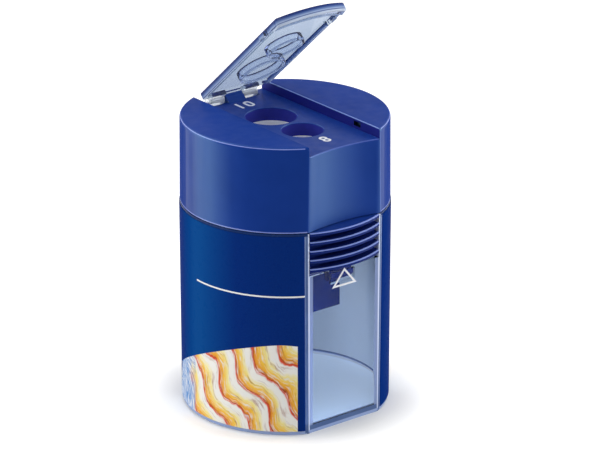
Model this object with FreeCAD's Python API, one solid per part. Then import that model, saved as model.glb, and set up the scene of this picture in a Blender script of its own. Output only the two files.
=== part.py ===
import FreeCAD, Part
import math
import os

from FreeCAD import Vector

# Millimetres, +Z up, origin at the middle of the base. The front flat faces -Y, the lid is hinged at +Y.

# Body: round, drafted a little, with a flat in front and one behind
part_line_radius = 21.5
base_draft = 0.1
top_draft = 0.15
flat_inset = 2.15
body_height = 62.0
part_line_height = 44.0
rim_round = 0.7

# Tub
tub_wall = 1.4
tub_floor = 1.4
base_round = 0.4
part_line_gap = 0.15

# Labels and printed marks
label_thickness = 0.12
label_gap = 0.02
label_margin = 0.25
label_base_margin = 0.9
label_top_margin = 0.5
mark_thickness = 0.06
mark_gap = 0.01
arrow_width = 6.3
arrow_height = 3.8
arrow_stroke = 0.4
arrow_drop = 0.1

# Head
head_wall = 1.6
channel_half_width = 8.9
channel_depth = 2.1
head_floor = 2.8
scoop_depth = 1.0
scoop_half_width = 8.6
spigot_reach = 3.0
spigot_wall = 1.2
spigot_root = 2.5
spigot_clearance = 0.2
spigot_half_length = 14.5
catch_recess_length = 2.2
catch_recess_height = 1.0
catch_recess_depth = 0.4
number_height = 3.0
number_stroke = 0.5
number_half_width = 0.9

# Pencil holes, shared by the head's floor and the metal block
jumbo_radius = 5.25
standard_radius = 4.25
jumbo_y = 4.62
hole_wall = 0.87
hole_round = 0.25

# Lid hinge
hinge_edge = 1.25
hinge_inset = 1.5
hinge_pin_radius = 0.6
knuckle_radius = 1.2
knuckle_width = 3.6
pin_running_clearance = 0.05
pin_seat_clearance = 0.02
hinge_clearance = 0.3
hinge_boss_half_width = 2.15
boss_slope_run = 1.5
boss_slope_rise = 1.2

# Lid, drawn shut and then opened
lid_open_angle = 41.8
lid_side_clearance = 0.3
lid_top_inset = 0.1
lid_thickness = 1.5
lid_plate = 0.9
lid_rim = 0.9
lid_rear_gap = 2.3
lip_inset = 1.25
lip_depth = 2.0
lip_thickness = 1.9
ring_wall = 0.7
ring_depth = 0.6
ring_clearance = 0.15
catch_from_lip = 5.9
catch_clearance = 0.1
snap_length = 2.6
snap_slit = 0.3
guide_from_lip = 1.8
guide_tooth_length = 2.0
guide_tooth_reach = 0.15

# Press pads and latch hooks, drawn in front and turned round for the rear
pad_opening_half_width = 8.95
pad_opening_depth = 9.6
pad_side_clearance = 0.15
pad_gap = 0.2
pad_front_inset = 0.75
pad_thickness = 1.4
pad_plate_inset = 0.35
rib_count = 5
rib_pitch = 1.93
rib_height = 0.8
tongue_half_width = 6.0
tongue_thickness = 1.1
tongue_gap = 0.6
shelf_height = 2.4
root_radius = 0.9
pivot_drop = 1.9
pivot_clearance = 0.05
rail_wall = 0.9
rail_lip = 0.45
rail_gap = 0.3
hook_half_width = 2.8
hook_thickness = 1.5
hook_gap = 0.25
heel_height = 3.0
latch_bar = 0.9
pocket_height = 2.3
pocket_depth = 0.8
pocket_side_clearance = 0.3
nose_reach = 0.65
nose_clearance = 0.1
nose_height = 1.9

# Metal sharpener, its blades and its holder
block_cheek = 1.65
block_side_wall = 1.5
guide_length = 4.0
cone_half_angle = 11.5
tip_opening_radius = 0.6
blade_bite = 0.2
collar_extra = 0.4
blade_width = 6.4
blade_thickness = 0.6
blade_bevel = 1.2
blade_tip_offset = 4.0
blade_end_gap = 0.3
screw_radius = 1.0
screw_clearance = 0.03
screw_hole_clearance = 0.15
screw_length = 4.5
screw_head_radius = 2.0
screw_head_height = 1.1
screw_slot = 0.5
screw_from_edge = 3.9
screw_from_tip = 10.5
holder_clearance = 0.15
holder_wall = 1.3
holder_skirt = 5.45
holder_edge_x = 3.7
holder_ledge = 1.4
holder_ledge_gap = 1.5

# Worked out from the sizes above
reach = 2 * (body_height + part_line_radius)
base_radius = part_line_radius - base_draft
top_radius = part_line_radius - top_draft
flat_distance = part_line_radius - flat_inset
tub_height = part_line_height - part_line_gap
channel_floor = body_height - channel_depth
head_ceiling = channel_floor - head_floor
inner_flat = flat_distance - tub_wall
scoop_radius = (scoop_half_width ** 2 + scoop_depth ** 2) / (2 * scoop_depth)
standard_y = jumbo_y - jumbo_radius - hole_wall - standard_radius
hinge_y = flat_distance - hinge_edge
hinge_z = body_height - hinge_inset
hinge_pocket_y = hinge_y - knuckle_radius - hinge_clearance
knuckle_inner = hinge_boss_half_width + hinge_clearance
knuckle_outer = knuckle_inner + knuckle_width
lid_half_width = channel_half_width - lid_side_clearance
lid_inner = lid_half_width - lid_rim
lid_top = body_height - lid_top_inset
lid_low = lid_top - lid_thickness
lid_under = lid_top - lid_plate
lid_rear_y = hinge_y - lid_rear_gap
lip_y = lip_inset - flat_distance
lip_centre_y = lip_y + math.sqrt(part_line_radius ** 2 - lid_half_width ** 2)
catch_y = lip_y + catch_from_lip
catch_z = (channel_floor + body_height) / 2
pad_low = part_line_height - pad_opening_depth + pad_gap
pad_high = part_line_height - pad_gap
pad_front = flat_distance - pad_front_inset
pad_back = pad_front - pad_thickness
head_inner_front = flat_distance - scoop_depth - head_wall
tongue_front = head_inner_front - tongue_gap
pivot_y = -(tongue_front - tongue_thickness / 2)
pivot_z = head_ceiling - pivot_drop
hook_front = inner_flat - hook_gap
pocket_high = part_line_height - pad_opening_depth - latch_bar
nose_high = pocket_high - nose_clearance
cone_slope = math.tan(math.radians(cone_half_angle))
block_half_width = jumbo_radius + block_cheek
block_front_y = standard_y - standard_radius - block_side_wall
block_back_y = jumbo_y + jumbo_radius + block_side_wall
holder_front_y = block_front_y - holder_clearance - holder_wall
holder_back_y = block_back_y + holder_clearance + holder_wall
jumbo_cone_z = head_ceiling - guide_length
cone_tip_z = jumbo_cone_z - jumbo_radius / cone_slope
block_low = cone_tip_z + tip_opening_radius / cone_slope
collar_low = jumbo_cone_z - collar_extra
across = Vector(1, 0, 0)
upright = Vector(0, 0, 1)


def slab(x0, x1, y0, y1, z0, z1):
    return Part.makeBox(x1 - x0, y1 - y0, z1 - z0, Vector(x0, y0, z0))


def rod(radius, start, end):
    return Part.makeCylinder(radius, start.distanceToPoint(end), start, end.sub(start))


def cross_rod(radius, half_length, y, z):
    return rod(radius, Vector(-half_length, y, z), Vector(half_length, y, z))


def prism(points, direction):
    outline = Part.makePolygon(points + points[:1])
    return Part.Face(outline).extrude(direction)


def turned(low_radius, low, high_radius, high, rounding=0):
    # a drafted round body about Z, with its top edge rounded where that is asked for
    axis_low = Vector(0, 0, low)
    axis_high = Vector(0, 0, high)
    foot = Vector(low_radius, 0, low)
    shoulder = Vector(high_radius, 0, high - rounding)
    rim = Vector(high_radius - rounding, 0, high)
    edges = [Part.makeLine(axis_low, foot), Part.makeLine(foot, shoulder)]
    if rounding:
        inset = rounding * (1 - math.sqrt(0.5))
        middle = Vector(high_radius - inset, 0, high - inset)
        edges.append(Part.Arc(shoulder, middle, rim).toShape())
    edges += [Part.makeLine(rim, axis_high), Part.makeLine(axis_high, axis_low)]
    return Part.Face(Part.Wire(edges)).revolve(Vector(), upright, 360)


def between_flats(shape, front, back):
    return shape.common(slab(-reach, reach, -front, back, -reach, reach))


def tub_radius(z):
    return base_radius + (part_line_radius - base_radius) * z / part_line_height


def head_radius(z):
    rise = (z - part_line_height) / (body_height - part_line_height)
    return part_line_radius + (top_radius - part_line_radius) * rise


def turned_round(shape):
    rear = shape.copy()
    rear.rotate(Vector(), upright, 180)
    return rear


def rounded_edges(shape, radius, chosen):
    return shape.makeFillet(radius, [edge for edge in shape.Edges if chosen(edge)])


def shavings_tub():
    body = turned(base_radius, 0, tub_radius(tub_height), tub_height)
    body = between_flats(body, flat_distance, flat_distance)
    body = rounded_edges(body, base_round, lambda edge: edge.BoundBox.ZMax < base_round / 2)
    top = part_line_height + tub_wall
    hollow = turned(tub_radius(tub_floor) - tub_wall, tub_floor, tub_radius(top) - tub_wall, top)
    body = body.cut(between_flats(hollow, inner_flat, inner_flat))
    openings = pad_opening().fuse(catch_pocket())
    return body.cut(openings).cut(turned_round(openings))


def pad_opening():
    low = part_line_height - pad_opening_depth
    half = pad_opening_half_width
    return slab(-half, half, -flat_distance - tub_wall, -inner_flat, low, part_line_height + tub_wall)


def catch_pocket():
    half = hook_half_width + pocket_side_clearance
    outer = -inner_flat - pocket_depth
    return slab(-half, half, outer, -inner_flat + tub_wall, pocket_high - pocket_height, pocket_high)


def label(side):
    low = label_base_margin
    high = tub_height - label_top_margin
    inner = label_gap
    outer = label_gap + label_thickness
    skin = turned(tub_radius(low) + outer, low, tub_radius(high) + outer, high)
    core = turned(tub_radius(low) + inner, low, tub_radius(high) + inner, high)
    skin = skin.cut(core)
    half_length = flat_distance - label_margin
    edges = sorted((0, side * reach))
    return skin.common(slab(*edges, -half_length, half_length, low, high))


def arrow_mark():
    # an outlined triangle that points up at the pad
    top = part_line_height - pad_opening_depth - arrow_drop
    face_y = -flat_distance - mark_gap
    run = Vector(0, -mark_thickness, 0)
    half = arrow_width / 2
    slope = math.hypot(half, arrow_height)
    inner_top = top - arrow_stroke * slope / half
    inner_low = top - arrow_height + arrow_stroke
    inner_half = half * (inner_top - inner_low) / arrow_height
    outer = triangle(half, top - arrow_height, top, face_y)
    return prism(outer, run).cut(prism(triangle(inner_half, inner_low, inner_top, face_y), run))


def triangle(half, low, top, y):
    return [Vector(-half, y, low), Vector(half, y, low), Vector(0, y, top)]


def head_shell():
    body = turned(part_line_radius, part_line_height, top_radius, body_height, rim_round)
    body = between_flats(body, flat_distance, flat_distance)
    half = channel_half_width
    body = body.cut(slab(-half, half, -reach, reach, channel_floor, reach))
    body = body.cut(finger_scoop()).cut(head_hollow()).cut(hinge_pocket())
    body = body.fuse([spigot(), pad_rail(), turned_round(pad_rail()), hinge_boss()])
    for y, radius in ((jumbo_y, jumbo_radius), (standard_y, standard_radius)):
        body = body.cut(rod(radius, Vector(0, y, 0), Vector(0, y, reach)))
    body = rounded_edges(body, hole_round, is_hole_mouth)
    for side in (-1, 1):
        body = body.cut(catch_recess(side))
    bore = hinge_pin_radius + pin_seat_clearance
    return body.cut(cross_rod(bore, knuckle_outer, hinge_y, hinge_z)).removeSplitter()


def is_hole_mouth(edge):
    box = edge.BoundBox
    on_floor = abs(box.ZMin - channel_floor) < hole_round / 2 and box.ZLength < hole_round / 2
    return on_floor and isinstance(edge.Curve, Part.Circle) and edge.Curve.Radius < channel_half_width


def finger_scoop():
    centre_y = -(flat_distance - scoop_depth + scoop_radius)
    return rod(scoop_radius, Vector(0, centre_y, 0), Vector(0, centre_y, reach))


def head_hollow():
    low_radius = head_radius(part_line_height) - head_wall
    high_radius = head_radius(head_ceiling) - head_wall
    hollow = turned(low_radius, part_line_height, high_radius, head_ceiling)
    return between_flats(hollow, head_inner_front, head_inner_front)


def hinge_pocket():
    low = hinge_z - knuckle_radius - hinge_clearance
    half = knuckle_outer + hinge_clearance
    return slab(-half, half, hinge_pocket_y, reach, low, reach)


def hinge_boss():
    # the middle of the hinge, with a front that slopes down to the channel's floor
    half = hinge_boss_half_width
    low = channel_floor - channel_depth
    front = hinge_y - knuckle_radius
    foot = slab(-half, half, front, hinge_y + knuckle_radius, low, hinge_z)
    toe = front - boss_slope_run
    outline = [(hinge_y, low), (hinge_y, hinge_z), (front, channel_floor + boss_slope_rise),
               (toe, channel_floor), (toe, low)]
    slope = prism([Vector(-half, y, z) for y, z in outline], across * (2 * half))
    return foot.fuse([slope, cross_rod(knuckle_radius, half, hinge_y, hinge_z)])


def spigot():
    # two curved skirts that locate the head in the tub's mouth
    low = part_line_height - spigot_reach
    high = part_line_height + spigot_root
    outer = tub_radius(low) - tub_wall - spigot_clearance
    ring = turned(outer, low, outer, high).cut(turned(outer - spigot_wall, low, outer - spigot_wall, high))
    return between_flats(ring, spigot_half_length, spigot_half_length)


def pad_rail():
    # a rail under the head's ceiling, clear of the holder, with a round seat for a press pad's root
    half = tongue_half_width
    seat = root_radius + pivot_clearance
    depth = seat + rail_wall
    low = pivot_z - rail_lip
    rail = slab(-half, half, pivot_y - depth, pivot_y + depth, low, head_ceiling + rail_wall)
    room = max(-holder_front_y, holder_back_y) + rail_gap
    rail = rail.cut(slab(-half, half, -room, room, low, head_ceiling))
    return rail.cut(cross_rod(seat, reach, pivot_y, pivot_z))


def catch_recess(side):
    inner = channel_half_width
    edges = sorted((side * (inner - catch_recess_depth), side * (inner + catch_recess_depth)))
    half = catch_recess_length / 2
    low = catch_z - catch_recess_height / 2
    return slab(*edges, catch_y - half, catch_y + half, low, low + catch_recess_height)


def press_pad():
    plate_half = pad_opening_half_width - pad_side_clearance - pad_plate_inset
    pad = slab(-plate_half, plate_half, -pad_front, -pad_back, pad_low, pad_high)
    tongue_back = tongue_front - tongue_thickness
    half = tongue_half_width
    shelf = slab(-half, half, -pad_front, -tongue_back, pad_high - shelf_height, pad_high)
    tongue = slab(-half, half, -tongue_front, -tongue_back, pad_high - shelf_height, pivot_z)
    root = cross_rod(root_radius, half, pivot_y, pivot_z)
    hook_back = hook_front - hook_thickness
    heel = slab(-hook_half_width, hook_half_width, -pad_front, -hook_back, pad_low, pad_low + heel_height)
    ribs = [rib(pad_high - rib_pitch * number) for number in range(rib_count)]
    return pad.fuse([shelf, tongue, root, heel] + ribs).removeSplitter()


def rib(top):
    half = pad_opening_half_width - pad_side_clearance
    disc = rod(tub_radius(part_line_height), Vector(0, 0, top - rib_height), Vector(0, 0, top))
    return disc.common(slab(-half, half, -reach, -pad_back - pad_thickness / 2, 0, reach))


def latch_hook():
    hook_back = hook_front - hook_thickness
    half = hook_half_width
    low = nose_high - nose_height
    stem = slab(-half, half, -hook_front, -hook_back, low, pad_low)
    tip = -inner_flat - nose_reach
    middle = nose_high - nose_height / 2
    outline = [(-hook_front, low), (tip, middle), (tip, nose_high), (-hook_front, nose_high)]
    nose = prism([Vector(-half, y, z) for y, z in outline], across * (2 * half))
    return stem.fuse(nose).removeSplitter()


def opened(shape):
    # the lid's pieces are drawn shut in the channel and then opened about the hinge
    shape.rotate(Vector(0, hinge_y, hinge_z), -across, lid_open_angle)
    return shape


def flip_lid():
    tray = lid_plan(0, lid_half_width, lid_rear_y, lid_low, lid_top)
    well = lid_plan(lip_depth, lid_inner, lid_rear_y - lid_rim, lid_low, lid_under)
    lid = tray.cut(well).fuse(lid_lip())
    lid = lid.fuse([lid_ring(jumbo_y, jumbo_radius), lid_ring(standard_y, standard_radius)])
    for side in (-1, 1):
        lid = lid.fuse([knuckle(side), guide_tooth(side)]).cut(snap_slot(side))
    bore = hinge_pin_radius + pin_running_clearance
    return opened(lid.cut(cross_rod(bore, reach, hinge_y, hinge_z)).removeSplitter())


def lid_plan(inset, half, back, low, high):
    # a plate in the lid's outline, whose front follows a circle of the body's radius
    disc = rod(part_line_radius - inset, Vector(0, lip_centre_y, low), Vector(0, lip_centre_y, high))
    straight = slab(-half, half, lip_centre_y, back, low, high)
    return disc.common(slab(-half, half, -reach, lip_centre_y, low, high)).fuse(straight)


def lid_lip():
    # the thick front edge, as deep from front to back all along
    low = lid_top - lip_thickness
    outer = lid_plan(0, lid_half_width, lid_rear_y, low, lid_low)
    return outer.cut(lid_plan(lip_depth, reach, lid_rear_y, low, lid_low))


def lid_ring(y, hole_radius):
    low = Vector(0, y, channel_floor - ring_depth)
    high = Vector(0, y, lid_under)
    outer = hole_radius - ring_clearance
    return rod(outer, low, high).cut(rod(outer - ring_wall, low, high))


def knuckle(side):
    ends = sorted((side * knuckle_inner, side * knuckle_outer))
    barrel = rod(knuckle_radius, Vector(ends[0], hinge_y, hinge_z), Vector(ends[1], hinge_y, hinge_z))
    arm = slab(*ends, lid_rear_y - lid_rim, hinge_y, lid_low, hinge_z + knuckle_radius)
    return barrel.fuse(arm)


def lid_tooth(side, y, half, outer):
    # a small tooth on the lid's side, half way up the channel
    ends = sorted((side * lid_inner, side * outer))
    rise = catch_recess_height / 2 - catch_clearance
    return slab(*ends, y - half, y + half, catch_z - rise, catch_z + rise)


def guide_tooth(side):
    return lid_tooth(side, lip_y + guide_from_lip, guide_tooth_length / 2, lid_half_width + guide_tooth_reach)


def snap_slot(side):
    ends = sorted((side * lid_inner, side * reach))
    half = snap_length / 2 + snap_slit
    return slab(*ends, catch_y - half, catch_y + half, lid_low, lid_top)


def lid_catch(side):
    # a springy stretch of the lid's side between two slits, whose tooth snaps into the channel's recess
    ends = sorted((side * lid_inner, side * lid_half_width))
    half = snap_length / 2
    tongue = slab(*ends, catch_y - half, catch_y + half, lid_low, lid_top)
    outer = channel_half_width + catch_recess_depth - catch_clearance
    tooth = lid_tooth(side, catch_y, catch_recess_length / 2 - catch_clearance, outer)
    return opened(tongue.fuse(tooth).removeSplitter())


def hinge_pin():
    return cross_rod(hinge_pin_radius, knuckle_outer, hinge_y, hinge_z)


def on_blade_face(shape):
    # from a frame whose X points out of the blades' sloping face and whose Z runs up it from the cone tips
    shape.rotate(Vector(), Vector(0, 1, 0), cone_half_angle)
    shape.translate(Vector(-blade_bite / math.cos(math.radians(cone_half_angle)), 0, cone_tip_z))
    return shape


def sharpener_block():
    half = block_half_width
    block = slab(-half, half, block_front_y, block_back_y, block_low, head_ceiling)
    cleared = on_blade_face(slab(0, reach, -reach, reach, -reach, reach))
    block = block.cut(cleared.common(slab(-reach, reach, -reach, reach, -reach, collar_low)))
    for y, radius in ((jumbo_y, jumbo_radius), (standard_y, standard_radius)):
        block = block.cut(pencil_bore(y, radius)).cut(screw_shank(y, screw_clearance))
    return block


def pencil_bore(y, radius):
    cone_z = cone_tip_z + radius / cone_slope
    guide = rod(radius, Vector(0, y, cone_z), Vector(0, y, reach))
    cone = Part.makeCone(0, radius, cone_z - cone_tip_z, Vector(0, y, cone_tip_z))
    return guide.fuse(cone)


def blade(y):
    # the ground edge lies along the middle of its cone
    top = (collar_low - cone_tip_z) / math.cos(math.radians(cone_half_angle)) - blade_end_gap
    top -= blade_thickness * cone_slope
    back = y + blade_width
    outline = [(0, y), (0, back), (blade_thickness, back), (blade_thickness, y + blade_bevel)]
    points = [Vector(out, along, blade_tip_offset) for out, along in outline]
    plate = on_blade_face(prism(points, upright * (top - blade_tip_offset)))
    return plate.cut(screw_shank(y, screw_hole_clearance))


def screw_shank(y, clearance):
    start = Vector(-screw_length, y + screw_from_edge, screw_from_tip)
    end = Vector(blade_thickness, y + screw_from_edge, screw_from_tip)
    return on_blade_face(rod(screw_radius + clearance, start, end))


def blade_screw(y):
    place = Vector(blade_thickness, y + screw_from_edge, screw_from_tip)
    head = rod(screw_head_radius, place, place + across * screw_head_height)
    low = place.x + screw_head_height / 2
    half = screw_slot / 2
    head = head.cut(slab(low, reach, place.y - half, place.y + half, -reach, reach))
    return on_blade_face(head).fuse(screw_shank(y, 0)).removeSplitter()


def sharpener_holder():
    inner_x = block_half_width + holder_clearance
    inner_front = holder_front_y + holder_wall
    inner_back = holder_back_y - holder_wall
    outer_x = inner_x + holder_wall
    low = block_low - holder_ledge - holder_skirt
    sleeve = slab(-outer_x, outer_x, holder_front_y, holder_back_y, low, head_ceiling)
    sleeve = sleeve.cut(slab(-inner_x, inner_x, inner_front, inner_back, low, head_ceiling))
    sleeve = sleeve.cut(slab(holder_edge_x, reach, -reach, reach, low, collar_low))
    ledge = slab(-inner_x, -holder_ledge_gap, inner_front, inner_back, block_low - holder_ledge, block_low)
    return sleeve.fuse(ledge).removeSplitter()


def figure_loop(y, radius):
    # one round loop of a figure, lying on the channel's floor
    low = Vector(0, y, channel_floor + mark_gap)
    high = low + upright * mark_thickness
    return rod(radius, low, high).cut(rod(radius - number_stroke, low, high))


def jumbo_number():
    # a ten, read from the front
    half = number_height / 2
    width = number_half_width
    y = (jumbo_y + jumbo_radius + hinge_pocket_y) / 2
    low = channel_floor + mark_gap
    high = low + mark_thickness
    one = slab(-2 * width, number_stroke - 2 * width, y - half, y + half, low, high)
    straight = half - width
    zero = figure_loop(y - straight, width).fuse(figure_loop(y + straight, width))
    inner = width - number_stroke
    zero = zero.cut(slab(-width, width, y - straight, y + straight, low, high))
    for side in (-1, 1):
        ends = sorted((side * inner, side * width))
        zero = zero.fuse(slab(*ends, y - straight, y + straight, low, high))
    zero = zero.removeSplitter()
    zero.translate(across * width)
    return Part.makeCompound([one, zero])


def standard_number():
    # an eight, read from the front
    radius = (number_height + number_stroke) / 4
    offset = radius - number_stroke / 2
    y = standard_y - standard_radius - number_height
    return figure_loop(y - offset, radius).fuse(figure_loop(y + offset, radius)).removeSplitter()


def assembly():
    pieces = {
        "shavings_tub": shavings_tub(),
        "left_label": label(-1),
        "right_label": label(1),
        "head_shell": head_shell(),
        "sharpener_holder": sharpener_holder(),
        "sharpener_block": sharpener_block(),
        "hinge_pin": hinge_pin(),
        "flip_lid": flip_lid(),
        "left_lid_catch": lid_catch(-1),
        "right_lid_catch": lid_catch(1),
        "jumbo_number": jumbo_number(),
        "standard_number": standard_number(),
    }
    for name, y in (("jumbo", jumbo_y), ("standard", standard_y)):
        pieces[name + "_blade"] = blade(y)
        pieces[name + "_blade_screw"] = blade_screw(y)
    for name, make in (("press_pad", press_pad), ("latch_hook", latch_hook), ("arrow_mark", arrow_mark)):
        pieces["front_" + name] = make()
        pieces["rear_" + name] = turned_round(make())
    return pieces


os.makedirs("parts", exist_ok=True)
for node, shape in assembly().items():
    box = shape.BoundBox
    print(node, shape.isValid(), len(shape.Solids), round(shape.Volume, 2),
          [round(v, 2) for v in (box.XMin, box.XMax, box.YMin, box.YMax, box.ZMin, box.ZMax)])
    shape.exportStep("parts/" + node + ".step")
print("hinge", hinge_y, hinge_z, "pivot", pivot_y, pivot_z)
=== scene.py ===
import math

import bmesh
import bpy
from mathutils import Matrix, Vector


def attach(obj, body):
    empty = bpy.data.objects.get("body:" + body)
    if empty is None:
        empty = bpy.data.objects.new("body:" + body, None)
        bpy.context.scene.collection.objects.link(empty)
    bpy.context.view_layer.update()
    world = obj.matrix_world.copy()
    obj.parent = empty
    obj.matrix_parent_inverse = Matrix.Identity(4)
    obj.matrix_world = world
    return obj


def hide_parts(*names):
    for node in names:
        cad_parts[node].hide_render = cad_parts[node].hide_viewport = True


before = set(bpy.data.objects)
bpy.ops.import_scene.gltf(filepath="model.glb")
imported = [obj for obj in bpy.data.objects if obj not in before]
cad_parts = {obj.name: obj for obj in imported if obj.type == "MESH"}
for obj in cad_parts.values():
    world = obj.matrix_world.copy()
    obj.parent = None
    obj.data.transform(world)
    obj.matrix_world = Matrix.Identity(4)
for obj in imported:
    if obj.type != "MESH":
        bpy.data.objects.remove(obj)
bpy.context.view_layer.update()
print("frame loaded with", len(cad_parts), "nodes")

toMetres = 0.001  # pieces are shaped in millimetres, because bevels this small get lost in metres
farOff = 60.0  # past any side of the object
hair = 0.01  # places nearer than this count as one
cutGap, mergeGap, leastEdge = 0.00001, 0.002, 0.001
sharpAngle, smoothAngle = 25, 33  # edges past the first may be bevelled, faces within the second shade as one
uprightRise = 1  # an edge that rises further than this is upright
square = 0.99  # a normal this near an axis is square to it
wallSides, holeSides, rodSides = 160, 96, 64


def chooseOnly(piece):
    bpy.ops.object.select_all(action="DESELECT")
    piece.select_set(True)
    bpy.context.view_layer.objects.active = piece


def nameFresh(name):
    piece = bpy.context.object
    piece.name = name
    piece.data.name = name
    bpy.ops.object.transform_apply(location=True, rotation=True, scale=True)
    return piece


def roundBody(name, lowRadius, low, highRadius, high, sides=wallSides, y=0.0):
    bpy.ops.object.select_all(action="DESELECT")
    bpy.ops.mesh.primitive_cone_add(vertices=sides, radius1=lowRadius, radius2=highRadius,
                                    depth=high - low, location=(0, y, (low + high) / 2))
    piece = nameFresh(name)
    piece.data.transform(Matrix.Translation((0, y, 0)) @ Matrix.Rotation(math.radians(90), 4, "Z")
                         @ Matrix.Translation((0, -y, 0)))  # a point of the ring lies on X
    return piece


def drum(name, radius, low, high, sides=wallSides, y=0.0):
    return roundBody(name, radius, low, radius, high, sides, y)


def slab(name, x0, x1, y0, y1, z0, z1):
    bpy.ops.object.select_all(action="DESELECT")
    bpy.ops.mesh.primitive_cube_add(size=1, location=((x0 + x1) / 2, (y0 + y1) / 2, (z0 + z1) / 2),
                                    scale=(x1 - x0, y1 - y0, z1 - z0))
    return nameFresh(name)


def midSlab(name, half, *limits):
    return slab(name, -half, half, *limits)


def crossRod(name, radius, x0, x1, y, z):
    bpy.ops.object.select_all(action="DESELECT")
    bpy.ops.mesh.primitive_cylinder_add(vertices=rodSides, radius=radius, depth=x1 - x0,
                                        location=((x0 + x1) / 2, y, z), rotation=(0, math.pi / 2, 0))
    return nameFresh(name)


def cutThrough(piece, point, normal, **settings):
    chooseOnly(piece)
    bpy.ops.object.mode_set(mode="EDIT")
    bpy.ops.mesh.select_all(action="SELECT")
    bpy.ops.mesh.bisect(plane_co=point, plane_no=normal, threshold=cutGap, **settings)
    bpy.ops.object.mode_set(mode="OBJECT")


def sliceOff(piece, point, normal):
    # takes away what lies on the normal's side and closes the cut
    cutThrough(piece, point, normal, use_fill=True, clear_outer=True)


def scoreLine(piece, point, normal):
    # splits the faces along a plane, so that a band of them can take another finish
    cutThrough(piece, point, normal)


def sliceFlats(piece, distance):
    for side in (-1, 1):
        sliceOff(piece, (0, side * distance, 0), (0, side, 0))


def sliceSides(piece, distance):
    for side in (-1, 1):
        sliceOff(piece, (side * distance, 0, 0), (side, 0, 0))


def roundEdges(piece, width, steps, chosen):
    # bevels the sharp edges whose two ends pass the test
    chooseOnly(piece)
    bpy.ops.object.mode_set(mode="EDIT")
    bpy.ops.mesh.select_mode(type="EDGE")
    bpy.ops.mesh.select_all(action="DESELECT")
    shape = bmesh.from_edit_mesh(piece.data)
    count = 0
    for edge in shape.edges:
        if len(edge.link_faces) == 2 and edge.calc_face_angle(0) > math.radians(sharpAngle):
            if chosen(edge.verts[0].co, edge.verts[1].co):
                edge.select_set(True)
                count += 1
    bmesh.update_edit_mesh(piece.data)
    if count:
        bpy.ops.mesh.bevel(offset=width, offset_type="OFFSET", segments=steps, affect="EDGES",
                           clamp_overlap=False)
    bpy.ops.object.mode_set(mode="OBJECT")
    print("   rounded", count, "edges of", piece.name)


def combine(piece, other, how):
    chooseOnly(piece)
    step = piece.modifiers.new("combine", "BOOLEAN")
    step.object = other
    step.operation = how
    step.solver = "EXACT"
    bpy.ops.object.modifier_apply(modifier=step.name)
    bpy.data.objects.remove(other, do_unlink=True)


def takeAway(piece, *others):
    for other in others:
        combine(piece, other, "DIFFERENCE")


def addOn(piece, *others):
    for other in others:
        combine(piece, other, "UNION")


def copyOf(piece, name, turn):
    copy = piece.copy()
    copy.data = piece.data.copy()
    copy.name = name
    copy.data.name = name
    bpy.context.scene.collection.objects.link(copy)
    copy.data.transform(turn)
    return copy


def span(side, near, far):
    # two distances on one side of the middle, the lower first
    return sorted((side * near, side * far))


def within(value, limits):
    return limits[0] < value < limits[1]


def addFinish(piece, finish, chosen):
    # gives the faces whose middle, in millimetres, and normal pass the test one more finish
    piece.data.materials.append(finish)
    count = 0
    for face in piece.data.polygons:
        if chosen(face.center / toMetres, face.normal):
            face.material_index = len(piece.data.materials) - 1
            count += 1
    print("  ", finish.name, "on", count, "faces of", piece.name)


def finishPiece(piece, finish, body, replaced):
    chooseOnly(piece)
    bpy.ops.object.mode_set(mode="EDIT")
    bpy.ops.mesh.select_all(action="SELECT")
    bpy.ops.mesh.remove_doubles(threshold=mergeGap)
    bpy.ops.mesh.dissolve_degenerate(threshold=leastEdge)
    bpy.ops.mesh.normals_make_consistent(inside=False)
    bpy.ops.object.mode_set(mode="OBJECT")
    piece.scale = (toMetres, toMetres, toMetres)
    bpy.ops.object.transform_apply(location=False, rotation=False, scale=True)
    bpy.ops.object.shade_smooth_by_angle(angle=math.radians(smoothAngle))
    even = piece.modifiers.new("evenNormals", "WEIGHTED_NORMAL")
    even.keep_sharp = True
    bpy.ops.object.modifier_apply(modifier=even.name)
    piece.data.materials.clear()
    piece.data.materials.append(finish)
    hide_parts(*replaced)
    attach(piece, body)
    print("made", piece.name, len(piece.data.polygons), "faces")


def newFinish(name):
    finish = bpy.data.materials.new(name)
    finish.use_nodes = True
    tree = finish.node_tree
    place = tree.nodes.new("ShaderNodeTexCoord").outputs["Object"]
    return finish, tree, tree.nodes["Principled BSDF"], place


def connect(tree, socket, value):
    if isinstance(value, bpy.types.NodeSocket):
        tree.links.new(value, socket)
    else:
        socket.default_value = value


def wire(tree, kind, inputs, **settings):
    # adds a node, sets its options, and links or sets its inputs
    node = tree.nodes.new(kind)
    for key, value in settings.items():
        setattr(node, key, value)
    for key, value in inputs.items():
        connect(tree, node.inputs[key], value)
    return node


def sums(tree, operation, *values):
    node = tree.nodes.new("ShaderNodeMath")
    node.operation = operation
    for socket, value in zip(node.inputs, values):
        connect(tree, socket, value)
    return node.outputs[0]


def speckle(tree, place, scale, detail=2.0, stretch=(1, 1, 1)):
    spread = wire(tree, "ShaderNodeMapping", {"Vector": place, "Scale": stretch}).outputs[0]
    inputs = {"Vector": spread, "Scale": scale, "Detail": detail}
    return wire(tree, "ShaderNodeTexNoise", inputs).outputs["Fac"]


def between(tree, value, low, high, fromLow=0.3, fromHigh=0.7):
    inputs = {"Value": value, "From Min": fromLow, "From Max": fromHigh, "To Min": low, "To Max": high}
    return wire(tree, "ShaderNodeMapRange", inputs).outputs[0]


def blendColours(tree, share, first, second):
    node = wire(tree, "ShaderNodeMix", {}, data_type="RGBA")
    for key, value in (("Factor", share), ("A", first), ("B", second)):
        connect(tree, node.inputs[key], value)
    return node.outputs["Result"]


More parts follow.
